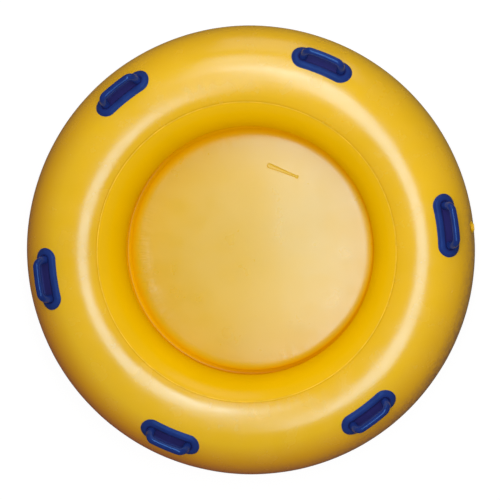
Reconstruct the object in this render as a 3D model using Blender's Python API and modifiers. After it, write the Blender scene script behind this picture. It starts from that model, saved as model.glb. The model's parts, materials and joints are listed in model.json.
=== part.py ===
"""Round water slide tube: an inflated ring, a welded floor, six moulded handles and an inflation valve.

Lengths are metres and angles degrees. Z is up, the ring rests on Z = 0 and its axis is the Z axis.
A tube angle is measured round the tube's section, from its outermost point over the crest.
"""
import math

import bmesh
import bpy
from mathutils import Matrix, Vector

# Inflated ring
RING_RADIUS = 0.651
TUBE_RADIUS = 0.187
SKIN = 0.0010
LAP_WIDTH = 0.015
UPPER_SEAM = 122.0
LOWER_SEAM = 238.0
OUTER_SEAM = 0.0
RING_STEPS = 48
TUBE_FACETS = 24

# Space kept between pieces that touch
GAP = 0.0003

# Floor and the flange that carries it
FLOOR_WELD_ANGLE = 211.0
FLANGE_WIDTH = 0.0345
FLANGE_LEG = 0.020
FLANGE_SKIN = 0.0012
FLOOR_SKIN = 0.0010
FLOOR_RISE = 0.006
FLOOR_SHOULDER = 0.045
FLOOR_EDGE_CLEARANCE = 0.002

# Slender strip welded on the floor
STRIP_LENGTH = 0.129
STRIP_HEAD = 0.016
STRIP_NECK = 0.008
STRIP_BULB = 0.012
STRIP_THICKNESS = 0.003
STRIP_RADIUS = 0.323
STRIP_AZIMUTH = 60.0

# Handles
HANDLE_COUNT = 6
HANDLE_ANGLE = 63.0
PAD_LENGTH = 0.230
PAD_WIDTH = 0.087
PAD_EDGE = 0.0025
PAD_SINK = 0.006
RIM_START = 0.004
RIM_END = 0.029
RIM_RISE = 0.0065
RECESS_FLOOR = 0.004
RECESS_FLAT = 0.008
GRIP_RADIUS = 0.0130
GRIP_HEIGHT = 0.0525
GRIP_STRAIGHT = 0.097
GRIP_SPAN = 0.144
GRIP_FOOT_HEIGHT = 0.0025
GRIP_FOOT_FLARE = 1.15

# Inflation valve, measured along its own axis from the outside of the skin
VALVE_ANGLE = 15.0
VALVE_AZIMUTH = -1.5
VALVE_STEPS = 24
VALVE_BORE = 0.0113
COLLAR_RADIUS = 0.0143
COLLAR_TOP = 0.0023
COLLAR_DEPTH = 0.0210
FLANGE_RADIUS = 0.0218
FLANGE_TOP = 0.0020
FLANGE_SINK = 0.0020
FLANGE_CHAMFER = 0.0009
HOLE_CLEARANCE = 0.0008
NUT_RADIUS = 0.0195
NUT_HEIGHT = 0.0058
NUT_CLEARANCE = 0.0003
NUT_NOTCHES = 6
NUT_NOTCH_WIDTH = 0.004
NUT_NOTCH_DEPTH = 0.0022
GASKET_DEPTH = 0.0026
SEAT_RADIUS = 0.0079
SEAT_DEPTH = 0.0154
SEAT_THICKNESS = 0.0015
HUB_RADIUS = 0.0047
HUB_THICKNESS = 0.0023
SPOKE_COUNT = 3
SPOKE_WIDTH = 0.0023
STEM_RADIUS = 0.0017
STEM_CLEARANCE = 0.0003
POPPET_RADIUS = 0.0090
POPPET_THICKNESS = 0.0017
SEAL_THICKNESS = 0.0014
BUTTON_RADIUS = 0.0060
BUTTON_TOP = 0.0032
BUTTON_HEIGHT = 0.0032
BUTTON_CROWN = 0.0011
SPRING_RADIUS = 0.0039
SPRING_WIRE = 0.0007
SPRING_TURNS = 4
SPRING_POINTS_PER_TURN = 9
CAP_RADIUS = 0.0161
CAP_THICKNESS = 0.0035
CAP_EDGE = 0.0014
PLUG_CLEARANCE = 0.0003
PLUG_DEPTH = 0.0049
CAP_BAR_LENGTH = 0.0225
CAP_BAR_WIDTH = 0.0045
CAP_BAR_HEIGHT = 0.0023
RING_SEAL_RADIUS = 0.0122
RING_SEAL_WIRE = 0.0018

# Colours
YELLOW = (0.83, 0.52, 0.02)
DEEP_YELLOW = (0.76, 0.43, 0.01)
PALE_YELLOW = (0.86, 0.62, 0.16)
BLUE = (0.012, 0.035, 0.15)
GREY = (0.05, 0.05, 0.055)
STEEL = (0.60, 0.60, 0.62)

LAP_STEP = SKIN + GAP
FACET_HALF = 180.0 / TUBE_FACETS
STEP_HALF = 180.0 / RING_STEPS
HALF_LAP = math.degrees(LAP_WIDTH / 2 / TUBE_RADIUS)
CENTRE_HEIGHT = (TUBE_RADIUS - LAP_STEP) * math.cos(math.radians(FACET_HALF))


def cos(angle):
    return math.cos(math.radians(angle))


def sin(angle):
    return math.sin(math.radians(angle))


def collection(name):
    group = bpy.data.collections.new(name)
    bpy.context.scene.collection.children.link(group)
    return group


def finish(name, colour, roughness, metallic=0.0):
    material = bpy.data.materials.new(name)
    material.use_nodes = True
    shader = material.node_tree.nodes["Principled BSDF"]
    shader.inputs["Base Color"].default_value = (*colour, 1.0)
    shader.inputs["Roughness"].default_value = roughness
    shader.inputs["Metallic"].default_value = metallic
    material.diffuse_color = (*colour, 1.0)
    return material


def place(name, mesh, group, material=None, parent=None):
    piece = bpy.data.objects.new(name, mesh)
    group.objects.link(piece)
    if material:
        mesh.materials.append(material)
    piece.parent = parent
    return piece


def helper(name, mesh, group, parent=None):
    piece = place(name, mesh, group, parent=parent)
    piece.hide_render = True
    piece.display_type = "WIRE"
    return piece


def profile_mesh(name, points, closed):
    """Edges through points (radius, height) in the XZ plane, at +X."""
    bm = bmesh.new()
    verts = [bm.verts.new((r, 0.0, z)) for r, z in points]
    for a, b in zip(verts, verts[1:]):
        bm.edges.new((a, b))
    if closed:
        bm.edges.new((verts[-1], verts[0]))
    mesh = bpy.data.meshes.new(name)
    bm.to_mesh(mesh)
    bm.free()
    return mesh


def turn(piece, steps):
    screw = piece.modifiers.new("Turn", "SCREW")
    screw.axis = "Z"
    screw.angle = math.tau
    screw.steps = steps
    screw.render_steps = steps
    screw.use_merge_vertices = True
    screw.merge_threshold = 0.00001
    screw.use_smooth_shade = True


def combine(piece, other, operation):
    boolean = piece.modifiers.new(operation.title() + " " + other.name, "BOOLEAN")
    boolean.operation = operation
    boolean.solver = "EXACT"
    boolean.object = other


def evaluated_mesh(piece):
    bpy.context.view_layer.update()
    graph = bpy.context.evaluated_depsgraph_get()
    return bpy.data.meshes.new_from_object(piece.evaluated_get(graph))


def smooth(mesh, sharp_angle=35.0):
    mesh.shade_smooth()
    mesh.set_sharp_from_angle(angle=math.radians(sharp_angle))


def welded(mesh):
    bm = bmesh.new()
    bm.from_mesh(mesh)
    bmesh.ops.remove_doubles(bm, verts=bm.verts, dist=0.000001)
    bmesh.ops.recalc_face_normals(bm, faces=bm.faces)
    bm.to_mesh(mesh)
    bm.free()
    return mesh


def curve_object(name, splines, radius, resolution, group):
    """A round tube along each list of (point, radius factor)."""
    curve = bpy.data.curves.new(name, "CURVE")
    curve.dimensions = "3D"
    curve.bevel_depth = radius
    curve.bevel_resolution = resolution
    curve.use_fill_caps = True
    for points in splines:
        spline = curve.splines.new("POLY")
        spline.points.add(len(points) - 1)
        for target, (point, factor) in zip(spline.points, points):
            target.co = (*point, 1.0)
            target.radius = factor
    return helper(name, curve, group)


def mesh_from_curve(piece):
    mesh = welded(evaluated_mesh(piece))
    bpy.data.objects.remove(piece)
    return mesh


# Tube section


def facet_radius(angle, corner_radius):
    """Distance from the tube's centre to its faceted section, whose corners lie at corner_radius."""
    pitch = 2 * FACET_HALF
    return corner_radius * cos(FACET_HALF) / cos(angle - pitch * round(angle / pitch))


def section_point(angle, corner_radius):
    reach = facet_radius(angle, corner_radius)
    return RING_RADIUS + reach * cos(angle), CENTRE_HEIGHT + reach * sin(angle)


def section_path(start, end, corner_radius_at):
    """Points along the faceted section from start to end, with every corner between them."""
    pitch = 2 * FACET_HALF
    first = math.ceil((start - FACET_HALF) / pitch + 1e-6)
    last = math.floor((end - FACET_HALF) / pitch - 1e-6)
    corners = [FACET_HALF + pitch * k for k in range(first, last + 1)]
    return [section_point(a, corner_radius_at(a)) for a in [start, *corners, end]]


def band_section(start, end, outside_at, thickness):
    """Closed section of a band of the tube's skin, running down its outer side."""
    outer = section_path(start, end, outside_at)
    inner = section_path(start, end, lambda a: outside_at(a) - thickness)
    return outer[::-1] + inner


def top_outside(angle):
    return TUBE_RADIUS


def bottom_outside(angle):
    return TUBE_RADIUS - LAP_STEP


def wall_outside(angle):
    share = (angle - UPPER_SEAM) / (LOWER_SEAM - UPPER_SEAM)
    return TUBE_RADIUS - LAP_STEP * (1 + share)


def ring_piece(name, points, group, material, closed=True):
    piece = place(name, profile_mesh(name, points, closed), group, material)
    turn(piece, RING_STEPS)
    piece.rotation_euler.z = math.radians(STEP_HALF)
    return piece


def tube_form(name, growth, group):
    """The whole tube as one solid, grown past the outside of its skin."""
    corners = [FACET_HALF + 2 * FACET_HALF * k for k in range(TUBE_FACETS)]
    points = [section_point(a, TUBE_RADIUS + growth) for a in corners]
    form = helper(name, profile_mesh(name, points[::-1], True), group)
    turn(form, RING_STEPS)
    form.rotation_euler.z = math.radians(STEP_HALF)
    return form


def make_ring(parts):
    sections = {
        "tube_top_panel": (OUTER_SEAM - HALF_LAP, UPPER_SEAM + HALF_LAP, top_outside, YELLOW),
        "tube_inner_wall": (UPPER_SEAM - HALF_LAP, LOWER_SEAM + HALF_LAP, wall_outside, DEEP_YELLOW),
        "tube_bottom_panel": (LOWER_SEAM - HALF_LAP, OUTER_SEAM + 360.0 + HALF_LAP, bottom_outside, YELLOW),
    }
    made = {}
    for name, (start, end, outside_at, colour) in sections.items():
        points = band_section(start, end, outside_at, SKIN)
        made[name] = ring_piece(name, points, parts, finish(name, colour, 0.38))
    return made


# Floor


def flange_inner_face(angle):
    return wall_outside(angle) + GAP


def flange_outer_face(angle):
    return wall_outside(angle) + GAP + FLANGE_SKIN


def flange_top():
    return section_point(FLOOR_WELD_ANGLE, flange_inner_face(FLOOR_WELD_ANGLE))


def flange_inner_radius():
    return flange_top()[0] - FLANGE_WIDTH


def make_flange(parts):
    """An L: one leg welded to the inner wall, the other reaching in under the floor's margin."""
    leg_end = FLOOR_WELD_ANGLE + math.degrees(FLANGE_LEG / TUBE_RADIUS)
    knee = FLOOR_WELD_ANGLE + math.degrees(FLANGE_SKIN / TUBE_RADIUS)
    against_wall = section_path(FLOOR_WELD_ANGLE, leg_end, flange_inner_face)
    away = section_path(knee, leg_end, flange_outer_face)
    inner, top = flange_inner_radius(), flange_top()[1]
    lip = [(inner, top - FLANGE_SKIN), (inner, top)]
    points = against_wall + away[::-1] + lip
    return ring_piece("floor_flange", points, parts, finish("floor_flange", DEEP_YELLOW, 0.4))


def floor_surface():
    """(radius, height) of the floor's upper face, from the middle out to its welded margin."""
    edge_radius, weld_height = flange_top()
    margin = weld_height + GAP + FLOOR_SKIN
    points = [(0.0, margin + FLOOR_RISE)]
    for share in (0.0, 0.45, 0.8, 1.0):
        radius = flange_inner_radius() - FLOOR_SHOULDER * (1 - share)
        points.append((radius, margin + FLOOR_RISE * math.sqrt(1 - share * share)))
    points.append((edge_radius - FLOOR_EDGE_CLEARANCE, margin))
    return points


def make_floor(parts):
    upper = floor_surface()
    lower = [(r, z - FLOOR_SKIN) for r, z in upper]
    return ring_piece(
        "floor_panel", upper + lower[::-1], parts, finish("floor_panel", PALE_YELLOW, 0.45), closed=False
    )


def strip_outline():
    """Head, neck and bulb of the strip, counter-clockwise, with the head at +X."""
    head, bulb, neck = STRIP_HEAD / 2, STRIP_BULB / 2, STRIP_NECK / 2
    head_x = STRIP_LENGTH / 2 - head
    bulb_x = bulb - STRIP_LENGTH / 2
    head_turn = math.pi - math.asin(neck / head)
    bulb_turn = math.pi - math.asin(neck / bulb)
    steps = 8
    points = []
    for k in range(steps + 1):
        a = head_turn * (2 * k / steps - 1)
        points.append((head_x + head * math.cos(a), head * math.sin(a)))
    for k in range(steps + 1):
        a = math.pi + bulb_turn * (2 * k / steps - 1)
        points.append((bulb_x + bulb * math.cos(a), bulb * math.sin(a)))
    return points


def make_strip(parts, helpers):
    curve = bpy.data.curves.new("floor_strip_outline", "CURVE")
    curve.dimensions = "2D"
    curve.fill_mode = "BOTH"
    curve.extrude = STRIP_THICKNESS / 2
    points = strip_outline()
    spline = curve.splines.new("POLY")
    spline.points.add(len(points) - 1)
    for target, (x, y) in zip(spline.points, points):
        target.co = (x, y, 0.0, 1.0)
    spline.use_cyclic_u = True
    mesh = mesh_from_curve(helper("floor_strip_outline", curve, helpers))
    strip = place("floor_strip", mesh, parts, finish("floor_strip", YELLOW, 0.4))
    top = floor_surface()[0][1]
    strip.location = (
        STRIP_RADIUS * cos(STRIP_AZIMUTH),
        STRIP_RADIUS * sin(STRIP_AZIMUTH),
        top + GAP + STRIP_THICKNESS / 2,
    )
    strip.rotation_euler.z = math.radians(STRIP_AZIMUTH + 90.0)
    return strip


# Handles


def on_tube(along, across, height):
    """A point of the first handle: along the ring, across it towards the crest, and off the tube."""
    angle = HANDLE_ANGLE + math.degrees(across / TUBE_RADIUS)
    azimuth = math.degrees(along / (RING_RADIUS + TUBE_RADIUS * cos(HANDLE_ANGLE)))
    reach = TUBE_RADIUS + height
    radius = RING_RADIUS + reach * cos(angle)
    return Vector((radius * cos(azimuth), radius * sin(azimuth), CENTRE_HEIGHT + reach * sin(angle)))


def stadium(inset, end_steps=8, side_steps=3):
    """The pad's outline drawn in by inset, as (along, across), counter-clockwise."""
    radius = PAD_WIDTH / 2 - inset
    side = (PAD_LENGTH - PAD_WIDTH) / 2
    points = []
    for sign in (1, -1):
        for k in range(end_steps + 1):
            a = 180.0 * k / end_steps - 90.0
            points.append((sign * (side + radius * cos(a)), sign * radius * sin(a)))
        for k in range(1, side_steps):
            points.append((sign * side * (1 - 2 * k / side_steps), sign * radius))
    return points


def pad_levels():
    """(inset, height) from the pad's buried underside, over its raised rim, into its recess."""
    levels = [(0.0, -PAD_SINK), (0.0, PAD_EDGE), (RIM_START, PAD_EDGE)]
    rim_steps = 4
    for k in range(1, rim_steps + 1):
        share = k / rim_steps
        inset = RIM_START + (RIM_END - RIM_START) * share
        base = PAD_EDGE + (RECESS_FLOOR - PAD_EDGE) * share
        levels.append((inset, base + RIM_RISE * (1 - (2 * share - 1) ** 2)))
    levels.append(((PAD_WIDTH - RECESS_FLAT) / 2, RECESS_FLOOR))
    return levels


def pad_blank():
    """Loft through the pad's levels, wrapped round the tube."""
    bm = bmesh.new()
    loops = []
    for inset, height in pad_levels():
        loops.append([bm.verts.new(on_tube(x, y, height)) for x, y in stadium(inset)])
    count = len(loops[0])
    for low, high in zip(loops, loops[1:]):
        for k in range(count):
            n = (k + 1) % count
            bm.faces.new((low[k], low[n], high[n], high[k]))
    bm.faces.new(loops[0][::-1])
    bm.faces.new(loops[-1])
    bmesh.ops.recalc_face_normals(bm, faces=bm.faces)
    mesh = bpy.data.meshes.new("handle_base")
    bm.to_mesh(mesh)
    bm.free()
    return mesh


def grip_path(foot_height):
    """Half ellipses rise from the feet to a straight bar; the feet are a little thicker."""
    leg_steps = 5
    half, spread = GRIP_STRAIGHT / 2, (GRIP_SPAN - GRIP_STRAIGHT) / 2
    side = []
    for k in range(leg_steps + 1):
        a = 90.0 * k / leg_steps
        along = half + spread * cos(a)
        height = foot_height + (GRIP_HEIGHT - foot_height) * sin(a)
        flare = 1 + (GRIP_FOOT_FLARE - 1) * cos(a) ** 2
        side.append((along, height, flare))
    side.append((half / 3, GRIP_HEIGHT, 1.0))
    path = side + [(-along, height, flare) for along, height, flare in side[::-1]]
    return [(on_tube(along, 0.0, height), flare) for along, height, flare in path]


def make_handles(parts, helpers):
    grip = curve_object("grip", [grip_path(GRIP_FOOT_HEIGHT)], GRIP_RADIUS, 2, helpers)
    grip_mesh = mesh_from_curve(grip)
    pocket = curve_object("pocket", [grip_path(GRIP_FOOT_HEIGHT - GAP)], GRIP_RADIUS + GAP, 2, helpers)
    pocket = helper("handle_pocket", mesh_from_curve(pocket), helpers)
    form = tube_form("handle_bed", GAP, helpers)
    blank = helper("handle_base_blank", pad_blank(), helpers)
    combine(blank, form, "DIFFERENCE")
    combine(blank, pocket, "DIFFERENCE")
    base_mesh = evaluated_mesh(blank)
    for mesh in (grip_mesh, base_mesh):
        smooth(mesh)
    base_mesh.materials.clear()
    base_mesh.materials.append(finish("handle_base", BLUE, 0.32))
    grip_mesh.materials.clear()
    grip_mesh.materials.append(finish("handle_grip", BLUE, 0.3))
    for k in range(HANDLE_COUNT):
        azimuth = math.radians(360.0 * k / HANDLE_COUNT)
        for label, mesh in (("base", base_mesh), ("grip", grip_mesh)):
            piece = place(f"handle_{k + 1}_{label}", mesh, parts)
            piece.rotation_euler.z = azimuth


# Valve


def skin_point(angle, azimuth):
    """A point on the outside of the faceted top panel."""
    pitch = 2 * STEP_HALF
    flat = cos(STEP_HALF) / cos(azimuth - pitch * round(azimuth / pitch))
    radius, height = section_point(angle, TUBE_RADIUS)
    return Vector((radius * flat * cos(azimuth), radius * flat * sin(azimuth), height))


def valve_frame(parts):
    """An empty on the valve's axis, with Z pointing out of the tube."""
    level = Vector((cos(VALVE_AZIMUTH), sin(VALVE_AZIMUTH), 0.0))
    out = level * cos(VALVE_ANGLE) + Vector((0.0, 0.0, sin(VALVE_ANGLE)))
    side = Vector((-level.y, level.x, 0.0))
    turned = Matrix((side, out.cross(side), out)).transposed().to_4x4()
    frame = bpy.data.objects.new("valve_axis", None)
    parts.objects.link(frame)
    frame.matrix_world = Matrix.Translation(skin_point(VALVE_ANGLE, VALVE_AZIMUTH)) @ turned
    return frame


def valve_piece(name, points, group, frame, material, closed=True):
    piece = place(name, profile_mesh(name, points, closed), group, material, frame)
    turn(piece, VALVE_STEPS)
    return piece


def valve_helper(name, points, group, frame, closed=True):
    piece = helper(name, profile_mesh(name, points, closed), group, frame)
    turn(piece, VALVE_STEPS)
    return piece


def ring_section(inner, outer, top, bottom):
    return [(inner, top), (outer, top), (outer, bottom), (inner, bottom)]


def boxes_mesh(name, boxes):
    """Boxes as (size, centre, turn about Z), joined in one mesh."""
    bm = bmesh.new()
    for size, centre, angle in boxes:
        fit = Matrix.Rotation(math.radians(angle), 4, "Z") @ Matrix.Translation(centre)
        bmesh.ops.create_cube(bm, size=1.0, matrix=fit @ Matrix.Diagonal((*size, 1.0)))
    mesh = bpy.data.meshes.new(name)
    bm.to_mesh(mesh)
    bm.free()
    return mesh


def seal_top():
    return -SEAT_DEPTH - SEAT_THICKNESS - GAP


def poppet_top():
    return seal_top() - SEAL_THICKNESS - GAP


def button_foot():
    return -BUTTON_TOP - BUTTON_HEIGHT


def hub_top():
    return HUB_THICKNESS - SEAT_DEPTH - SEAT_THICKNESS


def make_valve_body(parts, helpers, frame):
    """Threaded collar with its clamping flange, the seat ledge and the spider that guides the stem."""
    counterbore = RING_SEAL_RADIUS + RING_SEAL_WIRE / 2 + GAP
    step = COLLAR_TOP - RING_SEAL_WIRE - GAP
    collar = [
        (counterbore, COLLAR_TOP),
        (COLLAR_RADIUS, COLLAR_TOP),
        (COLLAR_RADIUS, -COLLAR_DEPTH),
        (VALVE_BORE, -COLLAR_DEPTH),
        (VALVE_BORE, -SEAT_DEPTH - SEAT_THICKNESS),
        (SEAT_RADIUS, -SEAT_DEPTH - SEAT_THICKNESS),
        (SEAT_RADIUS, -SEAT_DEPTH),
        (VALVE_BORE, -SEAT_DEPTH),
        (VALVE_BORE, step),
        (counterbore, step),
    ]
    body = valve_piece("valve_body", collar, parts, frame, finish("valve_body", YELLOW, 0.35))
    inner = (VALVE_BORE + COLLAR_RADIUS) / 2 + SKIN
    flange = [
        (inner, FLANGE_TOP),
        (FLANGE_RADIUS - FLANGE_CHAMFER, FLANGE_TOP),
        (FLANGE_RADIUS, FLANGE_TOP - FLANGE_CHAMFER),
        (FLANGE_RADIUS, -FLANGE_SINK),
        (inner, -FLANGE_SINK),
    ]
    flange = valve_helper("valve_flange_blank", flange, helpers, frame)
    combine(flange, tube_form("valve_bed", GAP, helpers), "DIFFERENCE")
    foot = -SEAT_DEPTH - SEAT_THICKNESS
    bore = STEM_RADIUS + STEM_CLEARANCE
    hub = valve_helper("valve_hub", ring_section(bore, HUB_RADIUS, hub_top(), foot), helpers, frame)
    reach = (VALVE_BORE + COLLAR_RADIUS) / 2
    start = (bore + HUB_RADIUS) / 2
    spoke_height = SEAT_THICKNESS / 2
    centre = ((start + reach) / 2, 0.0, foot + SEAT_THICKNESS / 2)
    size = (reach - start, SPOKE_WIDTH, spoke_height)
    spokes = [(size, centre, 360.0 * k / SPOKE_COUNT) for k in range(SPOKE_COUNT)]
    spokes = helper("valve_spokes", boxes_mesh("valve_spokes", spokes), helpers, frame)
    for piece in (flange, hub, spokes):
        combine(body, piece, "UNION")


def make_valve_fixing(parts, helpers, frame):
    """Rubber gasket against the inside of the skin, and the nut that clamps it."""
    inner = COLLAR_RADIUS + NUT_CLEARANCE
    blank = ring_section(inner, NUT_RADIUS, SKIN, -GASKET_DEPTH)
    gasket = valve_piece("valve_gasket", blank, parts, frame, finish("valve_gasket", GREY, 0.8))
    combine(gasket, tube_form("valve_inside", -SKIN - GAP, helpers), "INTERSECT")
    top = -GASKET_DEPTH - GAP
    section = ring_section(inner, NUT_RADIUS, top, top - NUT_HEIGHT)
    nut = valve_piece("valve_clamp_nut", section, parts, frame, finish("valve_clamp_nut", GREY, 0.45))
    size = (2 * NUT_NOTCH_DEPTH, NUT_NOTCH_WIDTH, NUT_HEIGHT)
    centre = (NUT_RADIUS, 0.0, top - NUT_HEIGHT)
    notches = [(size, centre, 360.0 * k / NUT_NOTCHES) for k in range(NUT_NOTCHES)]
    combine(nut, helper("nut_notches", boxes_mesh("nut_notches", notches), helpers, frame), "DIFFERENCE")


def make_plunger(parts, helpers, frame):
    """Stem with its poppet, the rubber seal on it, the push button and the return spring."""
    rod_top = -BUTTON_TOP - BUTTON_CROWN - GAP
    top = poppet_top()
    stem = [(0.0, rod_top), (STEM_RADIUS, rod_top), (STEM_RADIUS, top), (POPPET_RADIUS, top)]
    stem += [(POPPET_RADIUS, top - POPPET_THICKNESS), (0.0, top - POPPET_THICKNESS)]
    valve_piece("valve_stem", stem, parts, frame, finish("valve_stem", GREY, 0.45), closed=False)
    seal = ring_section(STEM_RADIUS + GAP, POPPET_RADIUS, seal_top(), seal_top() - SEAL_THICKNESS)
    valve_piece("valve_seal", seal, parts, frame, finish("valve_seal", GREY, 0.8))
    button = [
        (0.0, -BUTTON_TOP),
        (BUTTON_RADIUS - BUTTON_CROWN, -BUTTON_TOP),
        (BUTTON_RADIUS, -BUTTON_TOP - BUTTON_CROWN),
        (BUTTON_RADIUS, button_foot()),
        (STEM_RADIUS + GAP, button_foot()),
        (STEM_RADIUS + GAP, -BUTTON_TOP - BUTTON_CROWN),
        (0.0, -BUTTON_TOP - BUTTON_CROWN),
    ]
    valve_piece("valve_button", button, parts, frame, finish("valve_button", GREY, 0.4), closed=False)
    low = hub_top() + GAP + SPRING_WIRE / 2
    high = button_foot() - GAP - SPRING_WIRE / 2
    count = SPRING_TURNS * SPRING_POINTS_PER_TURN
    points = []
    for k in range(count + 1):
        a = 360.0 * k / SPRING_POINTS_PER_TURN
        height = low + (high - low) * k / count
        points.append((Vector((SPRING_RADIUS * cos(a), SPRING_RADIUS * sin(a), height)), 1.0))
    coil = curve_object("spring_wire", [points], SPRING_WIRE / 2, 1, helpers)
    mesh = mesh_from_curve(coil)
    place("valve_spring", mesh, parts, finish("valve_spring", STEEL, 0.25, 1.0), frame)


def make_cap(parts, helpers, frame):
    """Screw cap with a finger bar, and the ring seal under its rim."""
    under = COLLAR_TOP + GAP
    top = under + CAP_THICKNESS
    plug = VALVE_BORE - PLUG_CLEARANCE
    foot = under - PLUG_DEPTH
    cap = [
        (0.0, top),
        (CAP_RADIUS - CAP_EDGE, top),
        (CAP_RADIUS - 0.3 * CAP_EDGE, top - 0.3 * CAP_EDGE),
        (CAP_RADIUS, top - CAP_EDGE),
        (CAP_RADIUS, under),
        (plug, under),
        (plug, foot),
        (0.0, foot),
    ]
    cap = valve_piece("valve_cap", cap, parts, frame, finish("valve_cap", YELLOW, 0.35), closed=False)
    size = (CAP_BAR_LENGTH, CAP_BAR_WIDTH, CAP_BAR_HEIGHT + CAP_THICKNESS / 2)
    centre = (0.0, 0.0, top + CAP_BAR_HEIGHT - size[2] / 2)
    bar = helper("cap_bar", boxes_mesh("cap_bar", [(size, centre, 0.0)]), helpers, frame)
    combine(cap, bar, "UNION")
    wire = RING_SEAL_WIRE / 2
    sides = 6
    ring = []
    for k in range(sides):
        a = -360.0 * (k + 0.5) / sides
        ring.append((RING_SEAL_RADIUS + wire * cos(a), COLLAR_TOP - wire + wire * sin(a)))
    valve_piece("valve_cap_seal", ring, parts, frame, finish("valve_cap_seal", GREY, 0.8))


def make_valve(parts, helpers, top_panel):
    frame = valve_frame(parts)
    hole = COLLAR_RADIUS + HOLE_CLEARANCE
    depth = 6 * SKIN
    drill = [(0.0, depth), (hole, depth), (hole, -depth), (0.0, -depth)]
    combine(top_panel, valve_helper("valve_hole", drill, helpers, frame, closed=False), "DIFFERENCE")
    make_valve_body(parts, helpers, frame)
    make_valve_fixing(parts, helpers, frame)
    make_plunger(parts, helpers, frame)
    make_cap(parts, helpers, frame)


def main():
    for piece in list(bpy.data.objects):
        bpy.data.objects.remove(piece)
    parts = collection("water_slide_tube")
    helpers = collection("cutters")
    panels = make_ring(parts)
    make_flange(parts)
    make_floor(parts)
    make_strip(parts, helpers)
    make_handles(parts, helpers)
    make_valve(parts, helpers, panels["tube_top_panel"])


main()
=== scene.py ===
"""Dresses the water slide tube: inflated skins, floor, moulded handles and valve, in studio light."""

import json
from math import atan2, cos, degrees, exp, hypot, pi, radians, sin, sqrt, tau

import bmesh
import bpy
from mathutils import Matrix, Vector, noise

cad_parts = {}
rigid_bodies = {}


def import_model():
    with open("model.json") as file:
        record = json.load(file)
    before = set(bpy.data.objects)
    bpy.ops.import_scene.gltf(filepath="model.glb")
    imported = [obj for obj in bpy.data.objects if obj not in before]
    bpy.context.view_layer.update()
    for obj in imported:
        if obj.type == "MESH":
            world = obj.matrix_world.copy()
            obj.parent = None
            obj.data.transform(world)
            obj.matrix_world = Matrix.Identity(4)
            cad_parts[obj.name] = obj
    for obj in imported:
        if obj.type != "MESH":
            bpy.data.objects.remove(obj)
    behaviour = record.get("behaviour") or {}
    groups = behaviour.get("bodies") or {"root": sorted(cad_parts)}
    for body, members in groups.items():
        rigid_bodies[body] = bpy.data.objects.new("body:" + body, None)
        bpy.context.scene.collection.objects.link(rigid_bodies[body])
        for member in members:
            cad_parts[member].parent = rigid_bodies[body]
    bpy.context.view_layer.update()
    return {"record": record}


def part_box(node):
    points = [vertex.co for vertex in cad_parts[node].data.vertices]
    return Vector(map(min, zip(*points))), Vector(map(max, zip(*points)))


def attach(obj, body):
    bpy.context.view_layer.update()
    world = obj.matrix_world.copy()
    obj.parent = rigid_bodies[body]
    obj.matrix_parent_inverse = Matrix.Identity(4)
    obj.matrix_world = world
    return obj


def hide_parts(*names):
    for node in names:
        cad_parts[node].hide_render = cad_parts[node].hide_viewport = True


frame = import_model()
objects = bpy.data.objects

# The ring's centre line, and the radius of its section
RING_RADIUS = 0.651
TUBE_RADIUS = 0.187
CENTRE_HEIGHT = 0.1841
LAP_STEP = 0.0013
SKIN = 0.0010
UPPER_SEAM = 122.0
LOWER_SEAM = 238.0
HALF_LAP = 2.3

# Floor
MARGIN_WIDTH = 0.0315
CREASE_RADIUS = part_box("floor_panel")[1].x - MARGIN_WIDTH
MARGIN_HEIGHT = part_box("floor_panel")[0].z + SKIN
FLOOR_RISE = 0.006
SHOULDER = 0.036
MARGIN_EDGE = 0.4890
LIP_RADIUS = 0.4712
LIP_RISE = 0.0030
LIP_REACH = 0.0028

# Strip on the floor: its length, the half widths of its head, neck and bulb, and where its head points
STRIP_LENGTH = 0.129
STRIP_HEAD = 0.0100
STRIP_NECK = 0.0050
STRIP_BULB = 0.0070
STRIP_HEADING = 150.0

# Handles
HANDLE_COUNT = 6
HANDLE_ANGLE = 63.0
PAD_LENGTH = 0.230
PAD_WIDTH = 0.087
GRIP_RADIUS = 0.0130
GRIP_HEIGHT = 0.0525
GRIP_STRAIGHT = 0.097
GRIP_SPAN = 0.144

# Valve, whose axis leaves the tube at this tube angle and azimuth
VALVE_ANGLE = 15.0
VALVE_AZIMUTH = -1.5

# Colours
YELLOW = (0.82, 0.478, 0.0)
FLOOR_YELLOW = (0.80, 0.50, 0.004)
# Paler than the skin: a painted highlight for the light line along the seams
WELD_YELLOW = (0.86, 0.54, 0.03)
# Painted shade, orange, in the floor's crease and beside the upper seam on the inner wall
SHADE_ORANGE = (0.64, 0.25, 0.0, 1)
# Painted shade, deeper orange, on the outer slopes and beside the upper seam on the outer skins
DEEP_SHADE_ORANGE = (0.60, 0.12, 0.0, 1)
SCUFF_BROWN = (0.30, 0.12, 0.045, 1)
# Painted orange shade from the wall on the floor near its edge
MARGIN_SHADE_ORANGE = (0.86, 0.46, 0.0, 1)
STRIP_YELLOW = (0.72, 0.46, 0.03, 1)
HANDLE_BLUE = (0.012, 0.029, 0.165)
# Painted shade in the handles' dishes
DISH_SHADE_BLUE = (0.022, 0.019, 0.13, 1)
FABRIC_SHEEN = (0.34, 0.72, 1.0, 1)
HANDLE_SHEEN = (0.16, 0.45, 1.0, 1)
VALVE_GREY = (0.05, 0.05, 0.055)
RUBBER_BLACK = (0.02, 0.02, 0.021, 1)
RUBBER_DUST = (0.09, 0.088, 0.08, 1)
STEEL_DARK = (0.50, 0.50, 0.52, 1)
STEEL_LIGHT = (0.70, 0.70, 0.70, 1)


# Node helpers


def start_material(name):
    material = bpy.data.materials.new(name)
    material.use_nodes = True
    tree = material.node_tree
    return material, tree, tree.nodes["Principled BSDF"]


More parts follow.
